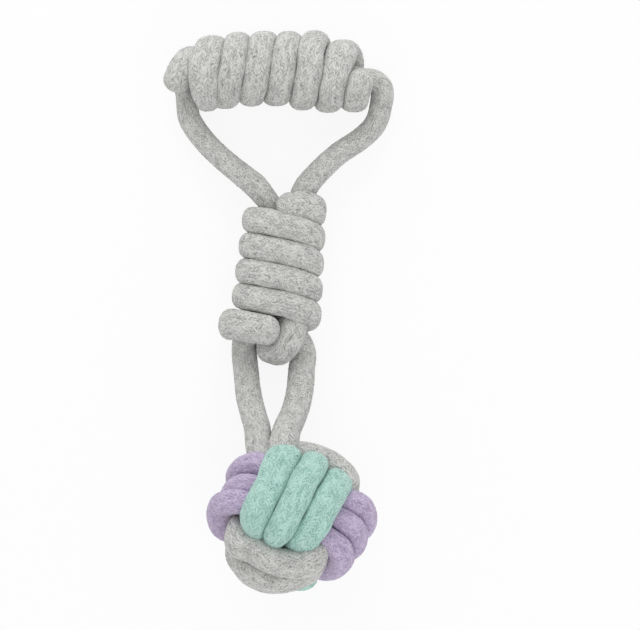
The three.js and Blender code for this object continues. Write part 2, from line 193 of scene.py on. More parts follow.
def smooth_through(stops: Sequence[Stop], per_span: int = 30) -> np.ndarray:
    """Draws a centripetal Catmull-Rom curve through a route's stops.

    Args:
        stops: The route's places and diameters.
        per_span: Points from one stop to the next.

    Returns:
        Rows of x, y, z and diameter.
    """
    places = np.array(stops, float)
    first = 2 * places[:1] - places[1:2]
    last = 2 * places[-1:] - places[-2:-1]
    padded = np.vstack([first, places, last])
    share = np.linspace(0, 1, per_span, endpoint=False)[:, None]
    rows = []
    for i in range(len(places) - 1):
        before, here, there, after = padded[i : i + 4, :3]
        gaps = [math.dist(a, b) ** 0.5 for a, b in ((before, here), (here, there), (there, after))]
        leave = (here - before) / gaps[0] - (there - before) / (gaps[0] + gaps[1])
        leave = (leave + (there - here) / gaps[1]) * gaps[1]
        arrive = (there - here) / gaps[1] - (after - here) / (gaps[1] + gaps[2])
        arrive = (arrive + (after - there) / gaps[2]) * gaps[1]
        bend = 2 * here - 2 * there + leave + arrive
        turn = -3 * here + 3 * there - 2 * leave - arrive
        place = here + leave * share + turn * share**2 + bend * share**3
        width = mixed(places[i, 3], places[i + 1, 3], share)
        rows.append(np.hstack([place, width]))
    return np.vstack([*rows, places[-1:]])


def evenly(rows: np.ndarray, step: float) -> np.ndarray:
    """Picks points a step apart along a line.

    Args:
        rows: Points, with x, y and z in the first three columns.
        step: Distance from one point to the next.

    Returns:
        New rows of the same columns.
    """
    spans = np.linalg.norm(np.diff(rows[:, :3], axis=0), axis=1)
    run = np.concatenate([[0], np.cumsum(spans)])
    count = max(round(run[-1] / step), 2) + 1
    wanted = np.linspace(0, run[-1], count)
    return np.stack([np.interp(wanted, run, column) for column in rows.T], axis=1)


def carried_along(points: np.ndarray, first: np.ndarray) -> np.ndarray:
    """Carries a direction along a line without twist, by double reflection.

    Args:
        points: The line.
        first: The direction at its start.

    Returns:
        The direction at each point.
    """
    tangents = unit(np.gradient(points, axis=0))
    normal = first - tangents[0] * (first @ tangents[0])
    found = [normal / np.linalg.norm(normal)]
    for i in range(len(points) - 1):
        step = points[i + 1] - points[i]
        reach = step @ step
        flipped = found[-1] - 2 / reach * (step @ found[-1]) * step
        heading = tangents[i] - 2 / reach * (step @ tangents[i]) * step
        turn = tangents[i + 1] - heading
        size = turn @ turn
        found.append(flipped - (2 / size * (turn @ flipped) * turn if size > 1e-12 else 0))
    return np.array(found)


@dataclass(frozen=True)
class RopeLine:
    """A rope's centre line, the way it faces, and its two widths at each point."""

    points: np.ndarray
    outs: np.ndarray
    thick: np.ndarray  # along the way it faces
    wide: np.ndarray  # square to that
    powers: np.ndarray  # of the section: 2 is an oval, more is squarer
    start: float = 0.0  # distance along the whole rope at which this length starts

    @classmethod
    def along_route(cls, stops: Sequence[Stop], step: float) -> Self:
        """Lays a round rope along a route.

        Args:
            stops: The route's places and diameters.
            step: Distance from one point to the next.

        Returns:
            The rope's line.
        """
        rows = evenly(smooth_through(stops), step)
        outs = carried_along(rows[:, :3], np.array([0.0, 0.0, 1.0]))
        return cls(rows[:, :3], outs, rows[:, 3], rows[:, 3], np.full(len(rows), ROUND_POWER))

    @classmethod
    def wound(
        cls,
        points: np.ndarray,
        outs: np.ndarray,
        thick: np.ndarray,
        wide: np.ndarray,
        powers: np.ndarray,
        step: float,
    ) -> Self:
        """Lays a flattened rope along a winding.

        Args:
            points: Closely spaced points on its centre line.
            outs: The way out of the winding at each.
            thick: Its width that way.
            wide: Its width along the winding's axis.
            powers: How far its neighbours press it square.
            step: Distance from one point to the next.

        Returns:
            The rope's line.
        """
        rows = evenly(np.column_stack([points, outs, thick, wide, powers]), step)
        return cls(rows[:, :3], unit(rows[:, 3:6]), *rows[:, 6:].T)

    @property
    def run(self) -> np.ndarray:
        """Distance along the whole rope at each point."""
        spans = np.linalg.norm(np.diff(self.points, axis=0), axis=1)
        return self.start + np.concatenate([[0], np.cumsum(spans)])

    def length(self) -> float:
        """The length of the centre line."""
        return float(self.run[-1] - self.run[0])

    def cut(self, first: int, last: int) -> Self:
        """Takes a length of the rope, whose lay goes on from its neighbours'.

        Args:
            first: Its first point.
            last: Its last point.

        Returns:
            The line of that length.
        """
        kept = slice(first, last + 1)
        return replace(
            self,
            points=self.points[kept],
            outs=self.outs[kept],
            thick=self.thick[kept],
            wide=self.wide[kept],
            powers=self.powers[kept],
            start=float(self.run[first]),
        )

    def crossing(self, y: float, after: int = 0) -> int:
        """Finds where the line next passes a value of Y.

        Args:
            y: The value.
            after: The point from which to look.

        Returns:
            The point's number.
        """
        side = self.points[after:, 1] > y
        return after + int(np.argmax(side != side[0]))

    def loosened(self, wobble: Wobble) -> Self:
        """Makes a rope less regular.

        Args:
            wobble: How it strays.

        Returns:
            The loosened line.
        """
        along = unit(np.gradient(self.points, axis=0))
        side = np.cross(along, self.outs)
        sway, thicker, wider = (
            wander(self.run, wobble.seed + i, wobble.wavelength) for i in range(3)
        )
        return replace(
            self,
            points=self.points + side * (wobble.sway * sway)[:, None],
            thick=self.thick * (1 + wobble.swell * thicker),
            wide=self.wide * (1 + wobble.swell * wider),
        )


# Rope skin


@dataclass(frozen=True)
class Braid:
    """The lay of the braid: columns of slanted stitches that meet in pairs, as chevrons."""

    columns: int = 26
    stitch: float = 1.4  # length of a stitch along the rope
    slant: float = 1.0  # stitches by which one climbs across its column
    stagger: float = 0.618  # stitches between neighbouring pairs of columns
    wave: float = 0.3  # stitches by which a column wanders
    wave_rate: float = 0.45
    wave_step: float = 2.1
    relief: float = 0.16  # from hollow to crown
    nap: float = 0.07  # how far loose fibres roughen the surface
    crown: float = 0.75  # below 1 gives fuller stitches
    valley: float = 0.45  # height at a column's edge, as a share of that at its middle

    def height(self, around: np.ndarray, along: np.ndarray) -> np.ndarray:
        """Gives the stitches' height.

        Args:
            around: Place round the rope, in columns.
            along: Place along the rope, in stitches.

        Returns:
            Heights from 0 in a hollow to 1 on a crown.
        """
        column = np.floor(around)
        across = around - column - 0.5
        slope = self.slant * (1 - 2 * (column % 2))
        pair = np.floor(around / 2)
        drift = self.wave * np.sin(self.wave_rate * along + self.wave_step * pair)
        phase = along + slope * across + self.stagger * pair + drift
        dome = np.abs(np.sin(math.pi * phase)) ** self.crown
        ridge = np.cos(math.pi * across)
        return dome * (self.valley + (1 - self.valley) * ridge)


@dataclass(frozen=True)
class Drawing:
    """The part's drawing frame and where it lies in the row frame."""

    shift: np.ndarray

    @classmethod
    def of_part(cls, core_centre: Sequence[float]) -> Self:
        """Finds the drawing frame from the ball's core, whose place is known in both.

        Args:
            core_centre: The core's centre in the drawing frame.

        Returns:
            The drawing frame.
        """
        low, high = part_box("ball_core")
        return cls((np.array(low) + np.array(high)) / 2 / MM - np.array(core_centre))

    def metres(self, places: np.ndarray | Sequence[float]) -> np.ndarray:
        """Turns drawing places into metres in the row frame."""
        return (np.asarray(places, float) + self.shift) * MM


@dataclass(frozen=True)
class Skin:
    """Rings of a rope's surface, ready to be joined into a mesh."""

    centres: np.ndarray
    outs: np.ndarray  # half-axis vectors of the section
    acrosses: np.ndarray
    powers: np.ndarray  # one column: the section's squareness
    run: np.ndarray
    first_pole: np.ndarray
    last_pole: np.ndarray


@dataclass(frozen=True)
class RopeMaker:
    """Makes rope meshes with a braided surface."""

    drawing: Drawing
    braid: Braid = field(default_factory=Braid)
    sides: int = 78  # points round the rope
    per_stitch: int = 3  # rings in a stitch
    cap_rings: int = 14
    map_edge: float = 0.012  # bare edge of the flat map
    map_tip: float = 0.6  # share of that edge on which an end's tip lies
    least_reach: float = 0.05  # from the centre line, so that the braid stays small at a tip

    @property
    def step(self) -> float:
        """Distance from one ring to the next."""
        return self.braid.stitch / self.per_stitch

    def _capped(self, line: RopeLine, first: RopeEnd, last: RopeEnd) -> Skin:
        """Lays out a rope's rings, with those of its round ends.

        Args:
            line: The rope's line.
            first: How it starts.
            last: How it ends.

        Returns:
            The rings.
        """
        along = unit(np.gradient(line.points, axis=0))
        outs = unit(line.outs - along * np.sum(line.outs * along, axis=1, keepdims=True))
        acrosses = np.cross(along, outs)
        rings = [
            line.points,
            outs * line.thick[:, None] / 2,
            acrosses * line.wide[:, None] / 2,
            line.powers[:, None],
        ]
        run = line.run
        poles = [line.points[0], line.points[-1]]
        turns = np.arange(1, self.cap_rings + 1) / (self.cap_rings + 1) * math.pi / 2
        for end, sign, style in ((0, -1, first), (-1, 1, last)):
            if style is RopeEnd.FLAT:
                continue
            reach = (line.thick[end] + line.wide[end]) / 4
            heading = sign * along[end] * reach
            cap = [
                line.points[end] + np.sin(turns)[:, None] * heading,
                np.cos(turns)[:, None] * rings[1][end],
                np.cos(turns)[:, None] * rings[2][end],
                np.full((len(turns), 1), line.powers[end]),
            ]
            added = run[end] + sign * reach * turns
            poles[end] = line.points[end] + heading
            if end == 0:
                rings = [np.vstack([c[::-1], r]) for c, r in zip(cap, rings, strict=True)]
                run = np.concatenate([added[::-1], run])
            else:
                rings = [np.vstack([r, c]) for c, r in zip(cap, rings, strict=True)]
                run = np.concatenate([run, added])
        return Skin(*rings, run, *poles)

    def _surface(self, skin: Skin) -> np.ndarray:
        """Works out the braided surface.

        Args:
            skin: The rope's rings.

        Returns:
            Places of the points, ring by ring.
        """
        angles = math.pi + np.arange(self.sides) / self.sides * 2 * math.pi
        cosine, sine, power = np.cos(angles), np.sin(angles), skin.powers
        bulge = (np.abs(cosine) ** power + np.abs(sine) ** power) ** (-1 / power)
        ray = skin.outs[:, None] * (cosine * bulge)[..., None]
        ray = ray + skin.acrosses[:, None] * (sine * bulge)[..., None]
        columns = np.arange(self.sides) / self.sides * self.braid.columns
        stitches = skin.run / self.braid.stitch
        height = self.braid.height(columns[None, :], stitches[:, None])
        size = np.linalg.norm(ray, axis=2)
        nap = np.random.default_rng(len(height)).normal(0, self.braid.nap, height.shape)
        nap[[0, -1]] = 0
        lift = (self.braid.relief * (height - 0.5) + nap) * np.minimum(size / size.max(), 1)
        raised = 1 + lift / np.maximum(size, self.least_reach)
        places = skin.centres[:, None] + ray * raised[..., None]
        places[..., 2] = np.maximum(places[..., 2], 0)
        return places

    def _maps(self, skin: Skin) -> dict[str, np.ndarray]:
        """Works out both texture maps, corner by corner.

        Args:
            skin: The rope's rings.

        Returns:
            The maps' places by name.
        """
        count, sides = len(skin.run), self.sides
        ring, side = np.divmod(np.arange((count - 1) * sides), sides)
        right = np.array([0, 1, 1, 0])
        ahead = np.array([0, 0, 1, 1])
        turned = (side[:, None] + right) / sides
        stitches = skin.run[ring[:, None] + ahead] / self.braid.stitch
        fan = np.arange(sides)
        fan_turned = np.stack([(fan + 1) / sides, fan / sides, (fan + 0.5) / sides], axis=1)
        braid = [np.stack([turned * self.braid.columns, stitches], axis=-1).reshape(-1, 2)]
        span = np.linalg.norm(np.diff(skin.centres, axis=0), axis=1).sum()
        girth = math.pi * (np.linalg.norm(skin.outs, axis=1).max() * 2)
        rows = max(round(math.sqrt(span / girth)), 1)
        per_row = math.ceil((count - 1) / rows)
        row = ring // per_row
        edge = self.map_edge
        across = (row[:, None] + edge + (1 - 2 * edge) * turned) / rows
        up = edge + (1 - 2 * edge) * ((ring - row * per_row)[:, None] + ahead) / per_row
        flat = [np.stack([across, up], axis=-1).reshape(-1, 2)]
        for end in (0, count - 1):
            at = np.full((sides, 3), skin.run[end] / self.braid.stitch)
            braid.append(np.stack([fan_turned * self.braid.columns, at], axis=-1).reshape(-1, 2))
            last_row = 0 if end == 0 else rows - 1
            height = 0 if end == 0 else (count - 1 - last_row * per_row) / per_row
            tip = self.map_tip * edge
            rise = np.array([0, 0, -tip if end == 0 else tip])
            level = edge + (1 - 2 * edge) * height + rise + np.zeros((sides, 1))
            place = (last_row + edge + (1 - 2 * edge) * fan_turned) / rows
            flat.append(np.stack([place, level], axis=-1).reshape(-1, 2))
        return {BRAID_MAP: np.vstack(braid), BAKE_MAP: np.vstack(flat)}

    def rope(
        self,
        name: str,
        line: RopeLine,
        first: RopeEnd = RopeEnd.FLAT,
        last: RopeEnd = RopeEnd.FLAT,
    ) -> bpy.types.Object:
        """Makes one length of braided rope.

        Args:
            name: The piece's name.
            line: The rope's line.
            first: How it starts.
            last: How it ends.

        Returns:
            The new object.
        """
        skin = self._capped(line, first, last)
        places = self._surface(skin)
        count, sides = len(places), self.sides
        ring, side = np.divmod(np.arange((count - 1) * sides), sides)
        here = ring * sides + side
        beside = ring * sides + (side + 1) % sides
        quads = np.stack([here, beside, beside + sides, here + sides], axis=1)
        fan = np.arange(sides)
        next_fan = (fan + 1) % sides
        top = (count - 1) * sides
        first_fan = np.stack([next_fan, fan, np.full(sides, count * sides)], axis=1)
        last_fan = np.stack([top + fan, top + next_fan, np.full(sides, count * sides + 1)], axis=1)
        loops = np.concatenate([quads.ravel(), first_fan.ravel(), last_fan.ravel()])
        sizes = np.array([4] * len(quads) + [3] * (2 * sides))
        points = np.vstack([places.reshape(-1, 3), skin.first_pole, skin.last_pole])
        mesh = bpy.data.meshes.new(name)
        mesh.vertices.add(len(points))
        mesh.vertices.foreach_set("co", self.drawing.metres(points).ravel())
        mesh.loops.add(len(loops))
        mesh.loops.foreach_set("vertex_index", loops)
        mesh.polygons.add(len(sizes))
        mesh.polygons.foreach_set("loop_start", np.cumsum(sizes) - sizes)
        mesh.update(calc_edges=True)
        for map_name, spots in self._maps(skin).items():
            layer = mesh.uv_layers.new(name=map_name)
            layer.uv.foreach_set("vector", spots.astype(np.float32).ravel())
        ends = [first is RopeEnd.ROUND, last is RopeEnd.ROUND]
        smooth = np.concatenate([np.ones(len(quads), bool), np.repeat(ends, sides)])
        mesh.polygons.foreach_set("use_smooth", smooth)
        LOG.info("%s: %.0f mm of rope, %d faces", name, line.length(), len(sizes))
        return placed(name, mesh)


# Shaders


class Shade:
    """A socket's value in a node tree, on which Python's operators add Math nodes."""

    def __init__(self, surface: "Surface", socket: bpy.types.NodeSocket) -> None:
        """Wraps a socket of a surface's tree."""
        self.surface = surface
        self.socket = socket

    def math(self, operation: str, *others: "Shade | float") -> "Shade":
        """Adds a Math node with this value as its first input.

        Args:
            operation: The node's operation.
            others: Its other inputs.

        Returns:
            The node's result.
        """
        inputs = dict(enumerate((self, *others)))
        node = self.surface.node("ShaderNodeMath", {"operation": operation}, inputs)
        return self.surface.read(node)

    def _after(self, operation: str, first: float) -> "Shade":
        """Adds a Math node with a plain number before this value."""
        node = self.surface.node("ShaderNodeMath", {"operation": operation}, {0: first, 1: self})
        return self.surface.read(node)

    def __add__(self, other: "Shade | float") -> "Shade":
        """Adds."""
        return self.math("ADD", other)

    def __radd__(self, other: float) -> "Shade":
        """Adds to a number."""
        return self.math("ADD", other)

    def __sub__(self, other: "Shade | float") -> "Shade":
        """Takes away."""
        return self.math("SUBTRACT", other)

    def __rsub__(self, other: float) -> "Shade":
        """Takes away from a number."""
        return self._after("SUBTRACT", other)

    def __mul__(self, other: "Shade | float") -> "Shade":
        """Multiplies."""
        return self.math("MULTIPLY", other)

    def __rmul__(self, other: float) -> "Shade":
        """Multiplies a number."""
        return self.math("MULTIPLY", other)

    def __truediv__(self, other: "Shade | float") -> "Shade":
        """Divides."""
        return self.math("DIVIDE", other)

    def __rtruediv__(self, other: float) -> "Shade":
        """Divides a number."""
        return self._after("DIVIDE", other)

    def __mod__(self, other: float) -> "Shade":
        """Gives the remainder, never below 0."""
        return self.math("FLOORED_MODULO", other)

    def __pow__(self, other: float) -> "Shade":
        """Raises to a power."""
        return self.math("POWER", other)

    def floor(self) -> "Shade":
        """Rounds down."""
        return self.math("FLOOR")

    def sine(self) -> "Shade":
        """Gives the sine."""
        return self.math("SINE")

    def cosine(self) -> "Shade":
        """Gives the cosine."""
        return self.math("COSINE")

    def spread(self, low: float, high: float) -> "Shade":
        """Stretches a range over 0 to 1, smoothly and held at both ends.

        Args:
            low: What becomes 0.
            high: What becomes 1.

        Returns:
            The stretched value.
        """
        settings = {"interpolation_type": "SMOOTHSTEP"}
        inputs = {"Value": self, "From Min": low, "From Max": high}
        return self.surface.read(self.surface.node("ShaderNodeMapRange", settings, inputs))


SocketValue = Shade | bpy.types.NodeSocket | float | Sequence[float]


def weighed(weights: Sequence[float], *values: Shade) -> Shade:
    """Adds up values by their weights.

    Args:
        weights: A weight for each value.
        values: The values.

    Returns:
        Their sum.
    """
    total, *others = (w * v for w, v in zip(weights, values, strict=True))
    for other in others:
        total = total + other
    return total


class Surface:
    """One material's node tree."""

    def __init__(self, name: str, tree_owner: bpy.types.ID | None = None) -> None:
        """Starts an empty tree.

        Args:
            name: The material's name.
            tree_owner: What carries the tree, if it isn't a new material.
        """
        self.owner = tree_owner or bpy.data.materials.new(name)
        self.owner.use_nodes = True
        self.tree = self.owner.node_tree
        self.tree.nodes.clear()

    def node(
        self,
        kind: str,
        settings: dict[str, object] | None = None,
        inputs: dict[str | int, SocketValue] | None = None,
    ) -> bpy.types.Node:
        """Adds any node.

        Args:
            kind: The node's type.
            settings: Its settings, which are set first.
            inputs: Values or links of its sockets, by name or number.

        Returns:
            The node.
        """
        node = self.tree.nodes.new(kind)
        for key, value in (settings or {}).items():
            setattr(node, key, value)
        for key, value in (inputs or {}).items():
            if isinstance(value, Shade):
                value = value.socket
            if isinstance(value, bpy.types.NodeSocket):
                self.tree.links.new(value, node.inputs[key])
            else:
                node.inputs[key].default_value = value
        return node

    def read(self, node: bpy.types.Node, output: str | int = 0) -> Shade:
        """Wraps one of a node's outputs."""
        return Shade(self, node.outputs[output])

    def blend_colours(self, share: Shade, first: SocketValue, second: SocketValue) -> Shade:
        """Mixes two colours.

        Args:
            share: 0 for the first, 1 for the second.
            first: A colour.
            second: A colour.

        Returns:
            The mixed colour.
        """
        inputs = {"Factor": share, 6: first, 7: second}
        node = self.node("ShaderNodeMix", {"data_type": "RGBA"}, inputs)
        return self.read(node, 2)

    def noise(self, place: SocketValue, scale: float, detail: float) -> Shade:
        """Adds a noise texture.

        Args:
            place: Where it is read.
            scale: Its scale.
            detail: Its layers of finer noise.

        Returns:
            Values round 0.5.
        """
        inputs = {"Vector": place, "Scale": scale, "Detail": detail}
        return self.read(self.node("ShaderNodeTexNoise", {}, inputs), "Fac")

    def joined(self, x: SocketValue, y: SocketValue, z: SocketValue = 0.0) -> Shade:
        """Joins three values into a vector."""
        return self.read(self.node("ShaderNodeCombineXYZ", {}, {0: x, 1: y, 2: z}))

    def seen(self) -> Shade:
        """Tells what the eye meets, straight, mirrored or through glass, from what only lights.

        Returns:
            1 for what is seen, 0 for the rest.
        """
        path = self.node("ShaderNodeLightPath")
        straight, mirrored, through = (
            self.read(path, f"Is {ray} Ray") for ray in ("Camera", "Glossy", "Transmission")
        )
        return straight.math("MAXIMUM", mirrored).math("MAXIMUM", through)

    def mix(self, share: Shade, first: bpy.types.Node, second: bpy.types.Node) -> bpy.types.Node:
        """Mixes two shaders.

        Args:
            share: 0 for the first, 1 for the second.
            first: A shader.
            second: A shader.

        Returns:
            The mixed shader.
        """
        inputs = {0: share, 1: first.outputs[0], 2: second.outputs[0]}
        return self.node("ShaderNodeMixShader", {}, inputs)

    def cloth(
        self, height: Shade, bump: float, depth: float, inputs: dict[str, SocketValue]
    ) -> None:
        """Ends the tree with a bumped cloth.

        Args:
            height: The bumps' height.
            bump: Their strength.
            depth: Their depth in millimetres.
            inputs: Values or links of the shader's sockets.
        """
        bumps = {"Strength": bump, "Distance": depth * MM, "Height": height}
        normal = self.node("ShaderNodeBump", {}, bumps).outputs[0]
        self.finish(self.node("ShaderNodeBsdfPrincipled", {}, {**inputs, "Normal": normal}))

    def finish(self, shader: bpy.types.Node, output: str = "ShaderNodeOutputMaterial") -> None:
        """Links a shader to the tree's output."""
        self.node(output, {}, {"Surface": shader.outputs[0]})


@dataclass(frozen=True)
class Grain:
    """Noise that follows a rope's lay."""

    around: float  # its rate in a column
    along: float  # and in a stitch
    layer: float = 0.0  # keeps one grain apart from another
    scale: float = 1.0
    detail: float = 2.0

    def on(self, surface: Surface, around: Shade, along: Shade) -> Shade:
        """Reads the noise at a place on the rope.

        Args:
            surface: The rope's surface.
            around: Place round the rope, in columns.
            along: Place along it, in stitches.

        Returns:
            Values round 0.5.
        """
        place = surface.joined(around * self.around, along * self.along, self.layer)
        return surface.noise(place, self.scale, self.detail)


@dataclass(frozen=True)
class Cotton:
    """A finish of braided cotton rope in one colour."""

    slot: str
    base: Rgb
    shaded_hollow: Rgb  # painted shade between the stitches
    pale: Rgb  # fibres that catch the light
    dark: Rgb  # darker fibres in the yarn
    dark_share: float  # how many of those there are
    roughness: float = 0.95
    gloss: float = 0.15
    fuzz: float = 0.22
    bump: float = 0.5
    bump_depth: float = 0.45  # millimetres
    unevenness: float = 1.8  # stitches by which the lay is pulled about
    fuzz_roughness: float = 0.6
    pull: Grain = Grain(0.5, 0.35)  # moves the lay round the rope
    slip: Grain = Grain(0.35, 0.5, layer=5.0)  # and along it
    fibre: Grain = Grain(1.7, 4.0, detail=3.0)
    yarn: Grain = Grain(0.8, 1.0, layer=3.0, scale=1.9, detail=3.0)
    patch: Grain = Grain(0.25, 0.12, layer=7.0, detail=1.0)
    shade_and_tone_weights: tuple[float, ...] = (0.5, 0.45, 0.6)  # of height, which paints shade in the hollows, tone and fibre
    shade_and_tone_range: tuple[float, float] = (0.3, 1.0)
    pale_weights: tuple[float, ...] = (0.6, 0.4)  # of fibre and patch
    pale_range: tuple[float, float] = (0.5, 0.72)
    pale_share: float = 0.75
    dark_range: tuple[float, float] = (0.55, 0.66)
    bump_weights: tuple[float, ...] = (0.75, 0.8, 0.3)  # of height, fibre and tone

    def dressing(self, braid: Braid) -> "Dressing":
        """Makes the rope's material from its lay.

        Args:
            braid: The lay.

        Returns:
            The material, ready to put on a piece.
        """
        surface = Surface(f"braided_{self.slot}")
        lay = surface.node("ShaderNodeUVMap", {"uv_map": BRAID_MAP})
        parts = surface.node("ShaderNodeSeparateXYZ", {}, {0: lay.outputs["UV"]})
        around, along = surface.read(parts, 0), surface.read(parts, 1)
        pull, slip = (grain.on(surface, around, along) for grain in (self.pull, self.slip))
        around = around + self.unevenness * (pull - 0.5)
        along = along + self.unevenness * (slip - 0.5)
        column = around.floor()
        across = around - column - 0.5
        slope = braid.slant - 2 * braid.slant * (column % 2)
        pair = (around / 2).floor()
        drift = braid.wave * (braid.wave_rate * along + braid.wave_step * pair).sine()
        phase = along + slope * across + braid.stagger * pair + drift
        row = phase.floor()
        dome = (math.pi * (phase - row)).sine()
        ridge = (math.pi * across).cosine()
        height = dome**braid.crown * (braid.valley + (1 - braid.valley) * ridge)
        stitch = surface.joined(column, row)
        tone = surface.read(surface.node("ShaderNodeTexWhiteNoise", {}, {"Vector": stitch}))
        fibre, yarn = (grain.on(surface, around, phase) for grain in (self.fibre, self.yarn))
        patch = self.patch.on(surface, around, along)
        # Painted shade: each stitch goes darker towards its hollows, mixed with random tone and
        # fibre.
        shade_and_tone = weighed(self.shade_and_tone_weights, height, tone, fibre).spread(*self.shade_and_tone_range)
        colour = surface.blend_colours(shade_and_tone, linear(self.shaded_hollow), linear(self.base))
        paleness = weighed(self.pale_weights, fibre, patch).spread(*self.pale_range)
        colour = surface.blend_colours(paleness * self.pale_share, colour, linear(self.pale))
        fleck = yarn.spread(*self.dark_range) * self.dark_share
        colour = surface.blend_colours(fleck, colour, linear(self.dark))
        sockets = {
            "Base Color": colour,
            "Roughness": self.roughness,
            "Specular IOR Level": self.gloss,
            "Sheen Weight": self.fuzz,
            "Sheen Roughness": self.fuzz_roughness,
        }
        surface_height = weighed(self.bump_weights, height, fibre, tone)
        surface.cloth(surface_height, self.bump, self.bump_depth, sockets)
        return Dressing(self.slot, surface.owner)


@dataclass(frozen=True)
class Filling:
    """A finish of packed cotton fibre."""

    slot: str = "core_fibre"
    base: Rgb = (150, 146, 142)
    # painted shade in the tufts' hollows
    shaded_hollow: Rgb = (92, 90, 88)
    roughness: float = 1.0
    bump: float = 0.8
    bump_depth: float = 1.0  # millimetres
    tuft_scale: float = 420.0
    tuft_detail: float = 5.0
    tuft_range: tuple[float, float] = (0.35, 0.65)

    def dressing(self) -> "Dressing":
        """Makes the fibre's material.

        Returns:
            The material, ready to put on a piece.
        """
        surface = Surface(f"packed_{self.slot}")
        place = surface.node("ShaderNodeTexCoord")
        tuft = surface.noise(place.outputs["Object"], self.tuft_scale, self.tuft_detail)
        # Painted shade: the fibre goes darker where its bumps are low.
        colour = surface.blend_colours(
            tuft.spread(*self.tuft_range), linear(self.shaded_hollow), linear(self.base)
        )
        sockets = {"Base Color": colour, "Roughness": self.roughness}
        surface.cloth(tuft, self.bump, self.bump_depth, sockets)
        return Dressing(self.slot, surface.owner)


@dataclass(frozen=True)
class Dressing:
    """A material and the part's own name for that finish."""

    slot: str
    material: bpy.types.Material

    def dress(self, piece: bpy.types.Object) -> None:
        """Puts the material on a piece."""
        piece.data.materials.append(self.material)


# Sub-assemblies


@dataclass(frozen=True)
class Fold:
    """A line along X on which the rope bends between two bodies."""

    first: Body
    second: Body
    y: float
    before: float  # how far from the line the bend starts, on the first body's side
    after: float  # and ends, on the second's

    def bend(self, piece: bpy.types.Object, drawing: Drawing) -> None:
        """Bakes a piece's place into its mesh, without bending it.

        Args:
            piece: The piece.
            drawing: Not used.
        """
        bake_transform(piece)


@dataclass
class Rope:
    """Rope widths and gaps that the sub-assemblies share."""

    leg: float = 9.4  # handle legs, drawn thinner by the pull
    loop: float = 10.5  # slack rope between knot and ball
    squeezed: float = 8.4  # the two strands inside the knot
    wound_thick: float = 9.6  # wound rope, out from the winding's axis
    wound_wide: float = 9.9  # wound rope, along the winding's axis
    clearance: float = 0.3
    turn_gap: float = 0.85  # between turns of the part's solids
    plump: float = 1.15  # how far a turn's soft skin fills that gap
    pressed: float = 2.4  # power of a turn's section between its neighbours

    @property
    def pitch(self) -> float:
        """Distance from one turn to the next."""
        return self.wound_wide + self.turn_gap

    @property
    def soft_wide(self) -> float:
        """Width of a turn that presses against its neighbours."""
        return self.wound_wide + self.plump

    @property
    def flat_cut(self) -> float:
        """Depth of the flat on which a winding rests."""
        return self.wound_thick / 10


@dataclass(frozen=True)
class Bulge:
    """A stretch of a winding that was pulled less evenly than the rest."""

    rise: tuple[float, float]  # turns in which it sets in
    fall: tuple[float, float]  # and dies away
    aside: float = 0.0
    out: float = 0.0
    wide: float = 0.0

    @classmethod
    def near(
        cls, turn: float, half: float, aside: float = 0.0, out: float = 0.0, wide: float = 0.0
    ) -> Self:
        """Makes a bulge that is fullest at one turn.

        Args:
            turn: Where it is fullest.
            half: Turns either side of that in which it dies away.
            aside: How far the rope moves to a side there.
            out: How far it moves out.
            wide: How much wider it is.

        Returns:
            The bulge.
        """
        rise, fall = (turn - half, turn - half / 2), (turn + half / 2, turn + half)
        return cls(rise, fall, aside, out, wide)

    def share(self, turn: np.ndarray) -> np.ndarray:
        """How far it holds at each turn, 0 to 1."""
        return ramp(turn, *self.rise) * (1 - ramp(turn, *self.fall))

    @staticmethod
    def summed(bulges: Sequence["Bulge"], turn: np.ndarray) -> tuple[np.ndarray, ...]:
        """Adds up bulges at each turn.

        Args:
            bulges: The bulges.
            turn: Turns made.

        Returns:
            How far the rope moves to a side and out, and how much wider it is.
        """
        shares = [(b, b.share(turn)) for b in bulges]
        aside = sum(b.aside * share for b, share in shares)
        out = sum(b.out * share for b, share in shares)
        wide = sum(b.wide * share for b, share in shares)
        return aside, out, wide


